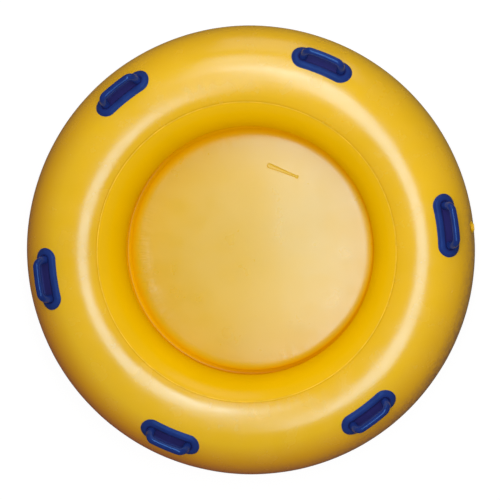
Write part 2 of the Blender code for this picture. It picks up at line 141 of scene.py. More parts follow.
def add(tree, kind, settings=None, **inputs):
    """A node of a kind, its settings, and its inputs as values or as sockets to link."""
    made = tree.nodes.new("ShaderNode" + kind)
    for key, value in (settings or {}).items():
        setattr(made, key, value)
    for key, value in inputs.items():
        socket = made.inputs[int(key[1:])] if key[1:].isdigit() else made.inputs[key.replace("_", " ")]
        feed(tree, socket, value)
    return made


def feed(tree, socket, value):
    if isinstance(value, bpy.types.NodeSocket):
        tree.links.new(value, socket)
    else:
        socket.default_value = value


def maths(tree, operation, a, b=0.0, c=0.0):
    made = tree.nodes.new("ShaderNodeMath")
    made.operation = operation
    for socket, value in zip(made.inputs, (a, b, c)):
        feed(tree, socket, value)
    return made.outputs[0]


def blend_colour(tree, share, first, second):
    made = tree.nodes.new("ShaderNodeMix")
    made.data_type = "RGBA"
    feed(tree, made.inputs["Factor"], share)
    feed(tree, made.inputs[6], first)
    feed(tree, made.inputs[7], second)
    return made.outputs[2]


def spread(tree, value, low, high, to_low=0.0, to_high=1.0):
    made = add(tree, "MapRange", {"interpolation_type": "SMOOTHSTEP"}, Value=value)
    made.inputs["From Min"].default_value = low
    made.inputs["From Max"].default_value = high
    made.inputs["To Min"].default_value = to_low
    made.inputs["To Max"].default_value = to_high
    return made.outputs[0]


def grain(tree, vector, scale, detail=2.0, rough=0.5):
    made = add(tree, "TexNoise", Vector=vector, Scale=scale, Detail=detail, Roughness=rough)
    return made.outputs["Fac"]


def object_point(tree):
    return tree.nodes.new("ShaderNodeTexCoord").outputs["Object"]


def surface_uv(tree, across=1.0, along=1.0):
    """The piece's own map, in metres, stretched each way."""
    flat = add(tree, "UVMap", {"uv_map": "skin"}).outputs[0]
    return add(tree, "Mapping", Vector=flat, Scale=(across, along, 1.0)).outputs[0]


def attribute(tree, name):
    return add(tree, "Attribute", {"attribute_name": name}).outputs["Fac"]


def relief(tree, height, distance, under=None, strength=1.0):
    made = add(tree, "Bump", Height=height, Distance=distance, Strength=strength)
    if under is not None:
        tree.links.new(under, made.inputs["Normal"])
    return made.outputs["Normal"]


def tinted(colour, gain):
    return tuple(min(1.0, c * gain) for c in colour[:3]) + (1.0,)


# Materials

# The coat's roughness as a share of the fabric's under it
COAT_ROUGHNESS = 0.72


def fabric_colour(tree, point, colour, margin_colour, scuffed):
    """Cloudy and worn in patches, with painted orange shade, and mottled brown where it is scuffed."""
    cloudy = spread(tree, grain(tree, point, scale=2.6, detail=3.0), low=0.3, high=0.7)
    worn = grain(tree, point, scale=34.0, detail=4.0, rough=0.6)
    worn = spread(tree, worn, low=0.55, high=0.8, to_high=0.08)
    base = blend_colour(tree, cloudy, tinted(colour, 0.97), tinted(colour, 1.03))
    base = blend_colour(tree, worn, base, tinted(colour, 0.88))
    # On the floor the margin colour is painted orange shade from the wall; on the strip it is its sunk middle
    if margin_colour:
        base = blend_colour(tree, attribute(tree, "margin"), base, margin_colour)
    # Painted shade: deeper orange on the outer skins, orange on the inner wall and the floor
    base = blend_colour(tree, attribute(tree, "painted_shade"), base, DEEP_SHADE_ORANGE if scuffed else SHADE_ORANGE)
    if scuffed:
        mottle = grain(tree, point, scale=55.0, detail=5.0, rough=0.7)
        mottle = spread(tree, mottle, low=0.42, high=0.58, to_low=0.35)
        scuff = maths(tree, "MULTIPLY", attribute(tree, "scuff"), mottle)
        base = blend_colour(tree, scuff, base, SCUFF_BROWN)
    return base


def fabric_relief(tree, point):
    """Faint weave and orange peel all over, and gathers where the piece is puckered."""
    weave_uv = {"Vector": surface_uv(tree), "Scale": 150.0}
    warp = add(tree, "TexWave", {"bands_direction": "X"}, **weave_uv).outputs["Fac"]
    weft = add(tree, "TexWave", {"bands_direction": "Y"}, **weave_uv).outputs["Fac"]
    weave = relief(tree, maths(tree, "MULTIPLY", warp, weft), distance=0.00004, strength=0.5)
    peel = grain(tree, point, scale=260.0, detail=2.0)
    peel = relief(tree, peel, distance=0.00012, under=weave, strength=0.6)
    broad = grain(tree, surface_uv(tree, across=30.0, along=11.0), scale=1.0, detail=1.0)
    fine = grain(tree, surface_uv(tree, across=72.0, along=19.0), scale=1.0, detail=1.0)
    patchy = spread(tree, grain(tree, point, scale=9.0, detail=1.0), low=0.35, high=0.62)
    gathers = maths(tree, "MULTIPLY_ADD", fine, maths(tree, "MULTIPLY", patchy, 0.5), broad)
    gathers = maths(tree, "MULTIPLY", gathers, attribute(tree, "pucker"))
    return relief(tree, gathers, distance=0.0045, under=peel)


def coated_fabric(name, colour, roughness, gloss, coat, margin_colour=None, wears=False, scuffed=False):
    """Polyester scrim under a glossy PVC coat, which is lost along a margin and where it wears."""
    material, tree, shader = start_material(name)
    point = object_point(tree)
    feed(tree, shader.inputs["Base Color"], fabric_colour(tree, point, colour, margin_colour, scuffed))
    if margin_colour:
        sheen = blend_colour(tree, attribute(tree, "margin"), FABRIC_SHEEN, (0.0, 0.0, 0.0, 1.0))
        feed(tree, shader.inputs["Specular Tint"], sheen)
    else:
        shader.inputs["Specular Tint"].default_value = FABRIC_SHEEN
    rough = grain(tree, point, scale=11.0, detail=4.0)
    rough = spread(tree, rough, low=0.3, high=0.75, to_low=roughness - 0.03, to_high=roughness + 0.06)
    feed(tree, shader.inputs["Roughness"], rough)
    shader.inputs["Specular IOR Level"].default_value = gloss
    shader.inputs["Coat Roughness"].default_value = COAT_ROUGHNESS * roughness
    if wears:
        kept = spread(tree, attribute(tree, "margin"), low=0.0, high=1.0, to_low=coat, to_high=0.0)
        feed(tree, shader.inputs["Coat Weight"], kept)
    else:
        shader.inputs["Coat Weight"].default_value = coat
    skin_relief = fabric_relief(tree, point)
    feed(tree, shader.inputs["Normal"], skin_relief)
    feed(tree, shader.inputs["Coat Normal"], skin_relief)
    return material


def moulded_plastic(name, colour, roughness, gloss=0.5, sheen=(1, 1, 1, 1), dish_shade_colour=None):
    """Moulded PVC: fine leathery skin, flow marks, light scuffs, and painted shade in the dish where it has
    one.
    """
    material, tree, shader = start_material(name)
    point = object_point(tree)
    flow = grain(tree, point, scale=28.0, detail=3.0)
    scuff = grain(tree, point, scale=240.0, detail=5.0, rough=0.65)
    flow_marks = spread(tree, flow, low=0.3, high=0.7)
    base = blend_colour(tree, flow_marks, tinted(colour, 0.9), tinted(colour, 1.1))
    # Painted shade in the pad's dish
    if dish_shade_colour:
        base = blend_colour(tree, attribute(tree, "dish"), base, dish_shade_colour)
    scuffs = spread(tree, scuff, low=0.6, high=0.8, to_high=0.15)
    base = blend_colour(tree, scuffs, base, tinted(colour, 1.5))
    feed(tree, shader.inputs["Base Color"], base)
    rough = spread(tree, scuff, low=0.3, high=0.75, to_low=roughness - 0.04, to_high=roughness + 0.08)
    feed(tree, shader.inputs["Roughness"], rough)
    shader.inputs["Specular IOR Level"].default_value = gloss
    shader.inputs["Specular Tint"].default_value = sheen
    leather = add(tree, "TexVoronoi", {"feature": "SMOOTH_F1"}, Vector=point, Scale=620.0).outputs["Distance"]
    skin = relief(tree, leather, distance=0.00008, strength=0.5)
    feed(tree, shader.inputs["Normal"], relief(tree, flow, distance=0.0006, under=skin, strength=0.4))
    return material


def soft_rubber(name):
    material, tree, shader = start_material(name)
    point = object_point(tree)
    dust = spread(tree, grain(tree, point, scale=180.0, detail=4.0), low=0.45, high=0.8, to_high=0.35)
    feed(tree, shader.inputs["Base Color"], blend_colour(tree, dust, RUBBER_BLACK, RUBBER_DUST))
    feed(tree, shader.inputs["Roughness"], spread(tree, dust, low=0.0, high=0.35, to_low=0.6, to_high=0.8))
    feed(tree, shader.inputs["Normal"], relief(tree, grain(tree, point, scale=900.0), distance=0.0001))
    return material


def spring_steel(name):
    material, tree, shader = start_material(name)
    point = object_point(tree)
    drawn = grain(tree, point, scale=700.0, detail=3.0)
    feed(tree, shader.inputs["Base Color"], blend_colour(tree, drawn, STEEL_DARK, STEEL_LIGHT))
    shader.inputs["Metallic"].default_value = 1.0
    rough = spread(tree, drawn, low=0.3, high=0.7, to_low=0.22, to_high=0.36)
    feed(tree, shader.inputs["Roughness"], rough)
    return material


# Finishes

FLOOR_LOOK = {"roughness": 0.30, "gloss": 1.0, "coat": 0.3, "wears": True}
skin_finish = coated_fabric(
    "yellow_coated_fabric", YELLOW, roughness=0.24, gloss=1.0, coat=0.25, scuffed=True
)
wall_finish = coated_fabric("inner_wall_fabric", YELLOW, roughness=0.28, gloss=0.0, coat=1.0, wears=True)
floor_finish = coated_fabric("floor_fabric", FLOOR_YELLOW, margin_colour=MARGIN_SHADE_ORANGE, **FLOOR_LOOK)
strip_finish = coated_fabric("floor_strip_fabric", FLOOR_YELLOW, margin_colour=STRIP_YELLOW, **FLOOR_LOOK)
weld_finish = moulded_plastic("weld_bead", WELD_YELLOW, roughness=0.5, gloss=0.3)
pad_finish = moulded_plastic(
    "blue_handle_pad", HANDLE_BLUE, roughness=0.42, gloss=0.35, sheen=HANDLE_SHEEN, dish_shade_colour=DISH_SHADE_BLUE
)
bar_finish = moulded_plastic("blue_handle_bar", HANDLE_BLUE, roughness=0.15, gloss=0.7, sheen=HANDLE_SHEEN)
cap_finish = moulded_plastic("yellow_valve_plastic", YELLOW, roughness=0.33)
valve_finish = moulded_plastic("grey_valve_plastic", VALVE_GREY, roughness=0.45)
rubber_finish = soft_rubber("valve_rubber")
steel_finish = spring_steel("spring_wire")


# Making pieces


def finished_piece(name, bm, material, body, node_names=(), sharp=40.0):
    mesh = bpy.data.meshes.new(name)
    bm.to_mesh(mesh)
    bm.free()
    mesh.materials.append(material)
    mesh.shade_smooth()
    if sharp:
        mesh.set_sharp_from_angle(angle=radians(sharp))
    piece = objects.new(name, mesh)
    bpy.context.scene.collection.objects.link(piece)
    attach(piece, body)
    if node_names:
        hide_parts(*node_names)
    return piece


def thicken(piece, thickness):
    shell = piece.modifiers.new("Sheet thickness", "SOLIDIFY")
    shell.thickness = thickness
    shell.offset = -1.0


def whole_turn(bm, geometry, steps):
    bmesh.ops.spin(
        bm,
        geom=geometry,
        cent=(0, 0, 0),
        axis=(0, 0, 1),
        angle=tau,
        steps=steps,
        use_merge=True,
        use_duplicate=False,
    )
    bmesh.ops.remove_doubles(bm, verts=bm.verts, dist=0.00001)


def face_away_from(bm, inside):
    """Turns all faces round if the first points towards the inside."""
    bmesh.ops.recalc_face_normals(bm, faces=bm.faces)
    bm.faces.ensure_lookup_table()
    first = bm.faces[0]
    if first.normal.dot(first.calc_center_median() - inside(first.calc_center_median())) < 0:
        bmesh.ops.reverse_faces(bm, faces=bm.faces)


def azimuth_of(point):
    return atan2(point.y, point.x)


def tube_centre(point):
    around = azimuth_of(point)
    return Vector((RING_RADIUS * cos(around), RING_RADIUS * sin(around), CENTRE_HEIGHT))


def tube_angle(point):
    """Degrees round the section, from its outermost point over the crest."""
    return degrees(atan2(point.z - CENTRE_HEIGHT, hypot(point.x, point.y) - RING_RADIUS)) % 360.0


def closeness(distance, reach):
    return exp(-((distance / reach) ** 2))


def ramp(value, at_none, at_full):
    """From 0 at one value to 1 at another, and level beyond them."""
    return min(1.0, max(0.0, (value - at_none) / (at_full - at_none)))


def smooth(share):
    return share * share * (3.0 - 2.0 * share)


def side_of(value):
    """1 or -1 for a side, 0 on the middle line."""
    return 1.0 if value > 0.00001 else -1.0 if value < -0.00001 else 0.0


def turn_between(a, b):
    """Smallest angle in degrees from one azimuth to another."""
    return abs((a - b + 180.0) % 360.0 - 180.0)


def store(piece, name, values):
    layer = piece.data.attributes.new(name, "FLOAT", "POINT")
    layer.data.foreach_set("value", values)


def map_skin(piece, place):
    """A map in metres: along the ring, and across it as place(point) says."""
    mesh = piece.data
    layer = mesh.uv_layers.new(name="skin")
    for polygon in mesh.polygons:
        middle = azimuth_of(polygon.center)
        for index in polygon.loop_indices:
            point = mesh.vertices[mesh.loops[index].vertex_index].co
            step = (azimuth_of(point) - middle + pi) % tau - pi
            layer.data[index].uv = ((middle + step) * RING_RADIUS, place(point))


# Inflated ring

SKIN_STEPS = 320
SECTION_STEP = 2.4

# Height and fineness of the swells in the skin
SWELLS = ((0.0009, 3.1), (0.00035, 9.0))

# Tube angle, depth and width of the dip at each seam
SEAM_DIPS = ((UPPER_SEAM, 0.0010, 3.2), (LOWER_SEAM, 0.0012, 3.2), (0.0, 0.0006, 3.0))

# Azimuth, width and weight of the gathers along the upper seam
SEAM_GATHERS = ((31.0, 9.0, 0.5), (154.0, 11.0, 0.9), (286.0, 18.0, 0.6), (228.0, 9.0, 0.4))
GATHER_REACH = 16.0
GATHER_EVERYWHERE = 0.08

# Tube angles at which the wear of the inner wall starts, is full, and is left off
WEAR_START, WEAR_FULL, WEAR_END = 126.0, 160.0, 300.0

# Painted shade beside the upper seam: how strong, how many degrees beyond it, and how wide
SEAM_SHADE, SEAM_SHADE_AT, SEAM_SHADE_WIDTH = 0.25, 1.5, 1.2

# The painted shade on the outer slopes, most on one side, and the scuffed side: its azimuth and reach,
# and its tube angles, which run from none above through full to full and none below
SHADE_AZIMUTH, SHADE_REACH = 228.0, 95.0
SHADE_BAND = (74.0, 18.0, -40.0, -100.0)
SHADE_LEAST = 0.08
SCUFF_AZIMUTH, SCUFF_REACH = 318.0, 46.0
SCUFF_BAND = (46.0, 16.0, -30.0, -70.0)
SCUFF_MOST = 0.85

# Bed in the skin for the valve's flange, and how much shorter it is round the section
BED_DEPTH = 0.0028
BED_FULL = 0.036
BED_END = 0.072
BED_NARROWING = 1.6


def unevenness(point):
    """Skins under air pressure are never quite even."""
    return sum(height * noise.noise(point * fineness) for height, fineness in SWELLS)


def seam_dip(angle):
    """The skin is drawn in a little at its welded seams."""
    return sum(depth * closeness(turn_between(angle, seam), width) for seam, depth, width in SEAM_DIPS)


def inner_wear(angle):
    """The inner wall is rubbed matt, more so towards the floor."""
    return smooth(ramp(angle, WEAR_START, WEAR_FULL)) if angle < WEAR_END else 0.0


def outer_angle(point):
    """The tube angle, negative underneath, so that it runs on past the outermost point."""
    angle = tube_angle(point)
    return angle - 360.0 if angle > 200.0 else angle


def band_share(angle, band):
    none_above, full_above, full_below, none_below = band
    return ramp(angle, none_above, full_above) * ramp(angle, none_below, full_below)


def outer_shade(point):
    """Painted shade on the outer slopes, most on one side and least across from it."""
    side = closeness(turn_between(degrees(azimuth_of(point)), SHADE_AZIMUTH), SHADE_REACH)
    return band_share(outer_angle(point), SHADE_BAND) * (SHADE_LEAST + (1.0 - SHADE_LEAST) * side)


def outer_scuff(point):
    """One side is scuffed brown round its widest part."""
    side = closeness(turn_between(degrees(azimuth_of(point)), SCUFF_AZIMUTH), SCUFF_REACH)
    return SCUFF_MOST * band_share(outer_angle(point), SCUFF_BAND) * side


def seam_shade(point):
    """Painted shade along the upper seam, on the side of the wall."""
    return SEAM_SHADE * closeness(tube_angle(point) - UPPER_SEAM - SEAM_SHADE_AT, SEAM_SHADE_WIDTH)


def valve_bed(point):
    """The skin keeps its curve but lies lower under the valve's flange."""
    along = radians(turn_between(degrees(azimuth_of(point)), VALVE_AZIMUTH)) * (RING_RADIUS + TUBE_RADIUS)
    across = radians(turn_between(tube_angle(point), VALVE_ANGLE)) * TUBE_RADIUS
    return BED_DEPTH * smooth(ramp(hypot(along, BED_NARROWING * across), BED_END, BED_FULL))


def seam_pucker(point):
    """The skin gathers beside the upper seam, most in a few places."""
    azimuth = degrees(azimuth_of(point))
    near = ramp(abs(tube_angle(point) - UPPER_SEAM), GATHER_REACH, 0.0)
    share = sum(weight * closeness(turn_between(azimuth, at), width) for at, width, weight in SEAM_GATHERS)
    return near * (GATHER_EVERYWHERE + 0.5 * min(1.0, share))


def ring_skin(name, start, end, level_at, material, node_name):
    """A band of the ring's skin between two tube angles, as a sheet at the level of its lap."""
    bm = bmesh.new()
    out, up = TUBE_RADIUS * cos(radians(start)), TUBE_RADIUS * sin(radians(start))
    seed = bm.verts.new((RING_RADIUS + out, 0, CENTRE_HEIGHT + up))
    bmesh.ops.spin(
        bm,
        geom=[seed],
        cent=(RING_RADIUS, 0, CENTRE_HEIGHT),
        axis=(0, -1, 0),
        angle=radians(end - start),
        steps=round((end - start) / SECTION_STEP),
    )
    whole_turn(bm, bm.verts[:] + bm.edges[:], SKIN_STEPS)
    face_away_from(bm, tube_centre)
    for v in bm.verts:
        centre = tube_centre(v.co)
        angle = tube_angle(v.co)
        if end > 360.0 and angle < 90.0:
            angle += 360.0
        reach = TUBE_RADIUS - LAP_STEP * level_at(angle) - seam_dip(angle) + unevenness(v.co)
        reach -= valve_bed(v.co)
        v.co = centre + (v.co - centre).normalized() * reach
        v.co.z = max(v.co.z, 0.0)
    piece = finished_piece(name, bm, material, "tube", [node_name], sharp=0)
    points = [v.co.copy() for v in piece.data.vertices]
    store(piece, "pucker", [seam_pucker(p) for p in points])
    store(piece, "margin", [inner_wear(tube_angle(p)) for p in points])
    store(piece, "scuff", [outer_scuff(p) for p in points])
    # Painted shade beside the upper seam and on the outer slopes
    store(piece, "painted_shade", [seam_shade(p) + outer_shade(p) for p in points])
    map_skin(piece, lambda p: radians(tube_angle(p)) * TUBE_RADIUS)
    thicken(piece, SKIN)


def wall_level(angle):
    """The wall lies one lap under the upper panel at its top, and one under the lower panel at its foot."""
    return 1.0 + (angle - UPPER_SEAM) / (LOWER_SEAM - UPPER_SEAM)


ring_skin(
    "skin_over_crest",
    -HALF_LAP,
    UPPER_SEAM + HALF_LAP,
    lambda angle: 0.0,
    skin_finish,
    "tube_top_panel",
)
ring_skin(
    "skin_underneath",
    LOWER_SEAM - HALF_LAP,
    360.0 + HALF_LAP,
    lambda angle: 1.0,
    skin_finish,
    "tube_bottom_panel",
)
ring_skin(
    "skin_inner_wall",
    UPPER_SEAM - HALF_LAP,
    LOWER_SEAM + HALF_LAP,
    wall_level,
    wall_finish,
    "tube_inner_wall",
)


def weld_bead(name, angle, width, height):
    """The squeezed-out bead along a welded seam, which fills the step beside the lap."""
    bm = bmesh.new()
    bmesh.ops.create_circle(bm, segments=10, radius=1.0)
    for v in bm.verts:
        v.co = Vector((v.co.x * height, 0.0, v.co.y * width / 2))
    turned = Matrix.Rotation(-radians(angle), 4, "Y")
    reach = TUBE_RADIUS - LAP_STEP * (0.5 if angle < 180.0 else 1.5) - seam_dip(angle)
    out, up = reach * cos(radians(angle)), reach * sin(radians(angle))
    place = Vector((RING_RADIUS + out, 0, CENTRE_HEIGHT + up))
    bmesh.ops.transform(bm, matrix=Matrix.Translation(place) @ turned, verts=bm.verts)
    whole_turn(bm, bm.verts[:] + bm.edges[:], SKIN_STEPS)
    for v in bm.verts:
        v.co += (v.co - tube_centre(v.co)).normalized() * unevenness(v.co)
    bmesh.ops.recalc_face_normals(bm, faces=bm.faces)
    finished_piece(name, bm, weld_finish, "tube", sharp=0)


weld_bead("weld_upper_seam", UPPER_SEAM + HALF_LAP, width=0.0060, height=0.0007)
weld_bead("weld_lower_seam", LOWER_SEAM + HALF_LAP, width=0.0040, height=0.0010)
weld_bead("weld_outer_seam", 360.0 - HALF_LAP, width=0.0030, height=0.0009)


# Floor

FLOOR_STEPS = 300
FIELD_CUTS, BORDER_CUTS = 30, 56
SLACK_HEIGHT = 0.0020
FOLD_HEIGHT = 0.0009

# Azimuth, width and weight of the gathers round the floor
FLOOR_PUCKERS = ((188.0, 27.0, 1.0), (100.0, 25.0, 0.15), (290.0, 20.0, 0.15))

# Round the floor's edge: azimuth, width over which its gloss fades and painted orange shade comes in,
# painted shade in the groove, raised lip, and how far out the crease is
FLOOR_EDGE = (
    (15, 0.012, 0.70, 0.0, 0.0060),
    (45, 0.030, 0.10, 0.0, 0.0050),
    (90, 0.060, 0.00, 0.0, 0.0040),
    (122, 0.055, 0.30, 0.0, 0.0020),
    (145, 0.036, 0.45, 0.4, 0.0),
    (170, 0.032, 0.20, 0.8, 0.0),
    (200, 0.029, 0.10, 1.0, 0.0),
    (232, 0.026, 0.35, 0.9, 0.0),
    (255, 0.024, 0.90, 0.3, 0.0010),
    (285, 0.022, 1.00, 0.0, 0.0030),
    (320, 0.018, 0.90, 0.0, 0.0050),
    (375, 0.012, 0.70, 0.0, 0.0060),
)


def floor_pucker(azimuth):
    return sum(weight * closeness(turn_between(azimuth, at), width) for at, width, weight in FLOOR_PUCKERS)


def floor_edge(azimuth):
    """Fade, groove, lip and crease at an azimuth, between the rows of the table."""
    azimuth = (azimuth - 15.0) % 360.0 + 15.0
    for before, after in zip(FLOOR_EDGE, FLOOR_EDGE[1:]):
        if azimuth <= after[0]:
            share = (azimuth - before[0]) / (after[0] - before[0])
            return [a + (b - a) * share for a, b in zip(before[1:], after[1:])]


def floor_height(point):
    """Crowned in the middle, rounded down to the crease, with a welded margin and its lip beyond it."""
    radius = hypot(point.x, point.y)
    azimuth = degrees(azimuth_of(point))
    _, _, lip, shift = floor_edge(azimuth)
    inward = CREASE_RADIUS + shift - radius
    if inward < 0:
        rise = lip * LIP_RISE * closeness(radius - LIP_RADIUS, LIP_REACH) - 0.10 * inward
    else:
        share = max(0.0, 1.0 - inward / SHOULDER)
        rise = FLOOR_RISE * max(0.0, 1.0 - share * share)
    slack = SLACK_HEIGHT * noise.noise(point * 4.2) * ramp(abs(inward), 0.0, 0.06)
    folds = noise.noise(Vector((radians(azimuth) * 17.0, 0.0, 4.0))) * closeness(inward - 0.022, 0.030)
    folds *= FOLD_HEIGHT * floor_pucker(azimuth)
    return MARGIN_HEIGHT + rise + slack + folds


def edge_gloss_loss_and_shade(point):
    """The floor's gloss fades and painted orange shade comes in towards the margin, unevenly where the sheet
    is gathered.
    """
    azimuth = degrees(azimuth_of(point))
    fade, _, lip, shift = floor_edge(azimuth)
    inward = CREASE_RADIUS + shift - hypot(point.x, point.y)
    ragged = noise.noise(Vector((radians(azimuth) * 30.0, 0.0, 7.0)))
    share = ramp(inward, fade * (1.0 + 0.7 * ragged * floor_pucker(azimuth)), 0.0)
    shiny_lip = 0.45 * lip * closeness(hypot(point.x, point.y) - LIP_RADIUS, 0.0030)
    return smooth(share) - shiny_lip


def crease_shade(point):
    """Painted shade in the groove at the crease."""
    _, groove, _, shift = floor_edge(degrees(azimuth_of(point)))
    inward = CREASE_RADIUS + shift - hypot(point.x, point.y)
    return 0.8 * groove * closeness(max(0.0, inward), 0.0040)


def make_floor_sheet():
    bm = bmesh.new()
    middle = bm.verts.new((0, 0, 0))
    shoulder = bm.verts.new((CREASE_RADIUS - 1.2 * SHOULDER, 0, 0))
    edge = bm.verts.new((MARGIN_EDGE, 0, 0))
    field = bm.edges.new((middle, shoulder))
    border = bm.edges.new((shoulder, edge))
    bmesh.ops.subdivide_edges(bm, edges=[field], cuts=FIELD_CUTS)
    bmesh.ops.subdivide_edges(bm, edges=[border], cuts=BORDER_CUTS)
    whole_turn(bm, bm.verts[:] + bm.edges[:], FLOOR_STEPS)
    for v in bm.verts:
        v.co.z = floor_height(v.co)
    face_away_from(bm, lambda point: point - Vector((0, 0, 1)))
    piece = finished_piece("floor_sheet", bm, floor_finish, "tube", ["floor_panel"], sharp=0)
    points = [v.co.copy() for v in piece.data.vertices]
    # Painted shade in the crease's groove, and painted orange shade as the gloss fades towards the edge
    store(piece, "painted_shade", [crease_shade(p) for p in points])
    store(piece, "margin", [edge_gloss_loss_and_shade(p) for p in points])
    gathered = [(degrees(azimuth_of(p)), CREASE_RADIUS - hypot(p.x, p.y)) for p in points]
    store(piece, "pucker", [0.9 * floor_pucker(a) * closeness(d - 0.040, 0.028) for a, d in gathered])
    map_skin(piece, lambda p: hypot(p.x, p.y))
    thicken(piece, SKIN)


make_floor_sheet()


# Steps (inset, rise) from the strip's edge, over its raised rim, down to its sunk middle
STRIP_RIM = ((0.0010, 0.0013), (0.0008, 0.0003), (0.0008, -0.0005), (0.0008, -0.0006), (0.0006, -0.0002))
STRIP_SINKS_OVER = 0.0024


def strip_half_width(x):
    """Of the strip at x along it: a round head, a taper to its neck, and a round bulb."""
    from_head = STRIP_LENGTH / 2 - STRIP_HEAD - x
    from_bulb = x + STRIP_LENGTH / 2 - STRIP_BULB
    width = 0.0
    if from_head < STRIP_HEAD:
        width = max(width, sqrt(max(0.0, STRIP_HEAD**2 - from_head**2)))
    if from_bulb < STRIP_BULB:
        width = max(width, sqrt(max(0.0, STRIP_BULB**2 - from_bulb**2)))
    if from_head > 0 and from_bulb > 0:
        share = from_bulb / (from_head + from_bulb)
        width = max(width, STRIP_NECK + (STRIP_HEAD - STRIP_NECK) * share**1.5)
    return width


def make_floor_strip():
    """A slender welded strip, its edge raised and its middle sunk."""
    low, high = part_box("floor_strip")
    middle = (low + high) / 2
    bm = bmesh.new()
    bmesh.ops.create_circle(bm, cap_ends=True, segments=128, radius=1.0)
    inner = bm.faces[:]
    for v in bm.verts:
        x = v.co.x * STRIP_LENGTH / 2
        v.co = Vector((x, side_of(v.co.y) * strip_half_width(x), 0.0))
    for inset, rise in STRIP_RIM:
        bmesh.ops.inset_region(
            bm, faces=inner, thickness=inset, depth=rise, use_even_offset=True, use_boundary=True
        )
    sunk = [ramp(strip_half_width(v.co.x) - abs(v.co.y), 0.0, STRIP_SINKS_OVER) for v in bm.verts]
    turned = Matrix.Rotation(radians(STRIP_HEADING), 4, "Z")
    place = Matrix.Translation((middle.x, middle.y, 0.0)) @ turned
    bmesh.ops.transform(bm, matrix=place, verts=bm.verts)
    for v in bm.verts:
        v.co.z += floor_height(v.co)
    piece = finished_piece("floor_strip_raised", bm, strip_finish, "tube", ["floor_strip"])
    store(piece, "margin", [0.05 + 0.55 * share for share in sunk])
    map_skin(piece, lambda p: hypot(p.x, p.y))


make_floor_strip()


# Handles

PAD_SIDE = (PAD_LENGTH - PAD_WIDTH) / 2
PAD_CUTS, PAD_CUT_SPACING = 13, 0.0083
CORNER_RISE_AT, CORNER_REACH = 0.066, 0.016
CORNER_RISE = 0.18

# How far in from the pad's edge the painted shade of its dish starts, and is full
DISH_START, DISH_FULL = 0.0215, 0.0275

# Where a grip's legs start above the skin, and how much wider they grow towards the foot and at its end
GRIP_START = 0.0022
LEG_FLARE, FOOT_FLARE = 0.15, 0.08
LEG_STEPS = 16


def on_tube(along, across, height):
    """A point of the first handle: along the ring, across it towards the crest, and off the skin."""
    angle = radians(HANDLE_ANGLE) + across / TUBE_RADIUS
    azimuth = along / (RING_RADIUS + TUBE_RADIUS * cos(radians(HANDLE_ANGLE)))
    reach = TUBE_RADIUS + height
    radius = RING_RADIUS + reach * cos(angle)
    return Vector((radius * cos(azimuth), radius * sin(azimuth), CENTRE_HEIGHT + reach * sin(angle)))


def rim_profile():
    """Steps (inset, rise) from the pad's thin edge, over its rounded rim, down into the dish."""
    heights = [(0.0, -0.003), (0.0, 0.0014), (0.0004, 0.0021), (0.0012, 0.0026), (0.0032, 0.0032)]
    heights += [(0.0050, 0.0049), (0.0068, 0.0065), (0.0086, 0.0078), (0.0104, 0.0087), (0.0124, 0.0093)]
    heights += [(0.0150, 0.0098), (0.0180, 0.0101), (0.0205, 0.0101), (0.0225, 0.0098), (0.0240, 0.0091)]
    heights += [(0.0253, 0.0081), (0.0265, 0.0068), (0.0277, 0.0055), (0.0289, 0.0046), (0.0302, 0.0040)]
    heights += [(0.0320, 0.0037), (0.0350, 0.0037), (0.0390, 0.0037)]
    return heights


def make_pad_form():
    bm = bmesh.new()
    bmesh.ops.create_circle(bm, cap_ends=True, segments=72, radius=PAD_WIDTH / 2)
    for v in bm.verts:
        v.co.y += PAD_SIDE * side_of(v.co.y)
    profile = rim_profile()
    top = bmesh.ops.extrude_face_region(bm, geom=bm.faces[:])["geom"]
    cap = [g for g in top if isinstance(g, bmesh.types.BMFace)]
    bmesh.ops.translate(bm, verts=cap[0].verts, vec=(0, 0, profile[1][1] - profile[0][1]))
    for (inset, height), (next_inset, next_height) in zip(profile[1:], profile[2:]):
        bmesh.ops.inset_region(
            bm, faces=cap, thickness=next_inset - inset, depth=next_height - height, use_even_offset=True
        )
    bmesh.ops.recalc_face_normals(bm, faces=bm.faces)
    for k in range(-PAD_CUTS, PAD_CUTS + 1):
        cut = bm.verts[:] + bm.edges[:] + bm.faces[:]
        bmesh.ops.bisect_plane(bm, geom=cut, plane_co=(0, PAD_CUT_SPACING * k, 0), plane_no=(0, 1, 0))
    lowest = min(v.co.z for v in bm.verts)
    # The dish weight carries painted shade in the pad's dish
    dish = bm.verts.layers.float.new("dish")
    for v in bm.verts:
        beyond = max(0.0, abs(v.co.y) - PAD_SIDE)
        v[dish] = ramp(PAD_WIDTH / 2 - hypot(v.co.x, beyond), DISH_START, DISH_FULL)
        height = v.co.z - lowest + profile[0][1]
        corner = closeness(abs(v.co.y) - CORNER_RISE_AT, CORNER_REACH)
        height += CORNER_RISE * max(0.0, height - 0.0040) * corner
        v.co = on_tube(v.co.y, -v.co.x, height)
    bmesh.ops.recalc_face_normals(bm, faces=bm.faces)
    return bm


def grip_points():
    """(point, thickness) along the grip: legs rise out of the dish in half ellipses to a straight bar."""
    half, spread_out = GRIP_STRAIGHT / 2, (GRIP_SPAN - GRIP_STRAIGHT) / 2
    side = []
    for k in range(LEG_STEPS + 1):
        a = pi / 2 * k / LEG_STEPS
        flare = 1 + LEG_FLARE * cos(a) ** 2 + FOOT_FLARE * closeness(a, 0.12)
        side.append((half + spread_out * cos(a), GRIP_START + (GRIP_HEIGHT - GRIP_START) * sin(a), flare))
    side += [(half * k / 7, GRIP_HEIGHT, 1.0) for k in range(6, 0, -1)]
    other = [(-along, height, flare) for along, height, flare in side[::-1]]
    stations = side + [(0.0, GRIP_HEIGHT, 1.0)] + other
    return [(on_tube(along, 0.0, height), flare) for along, height, flare in stations]


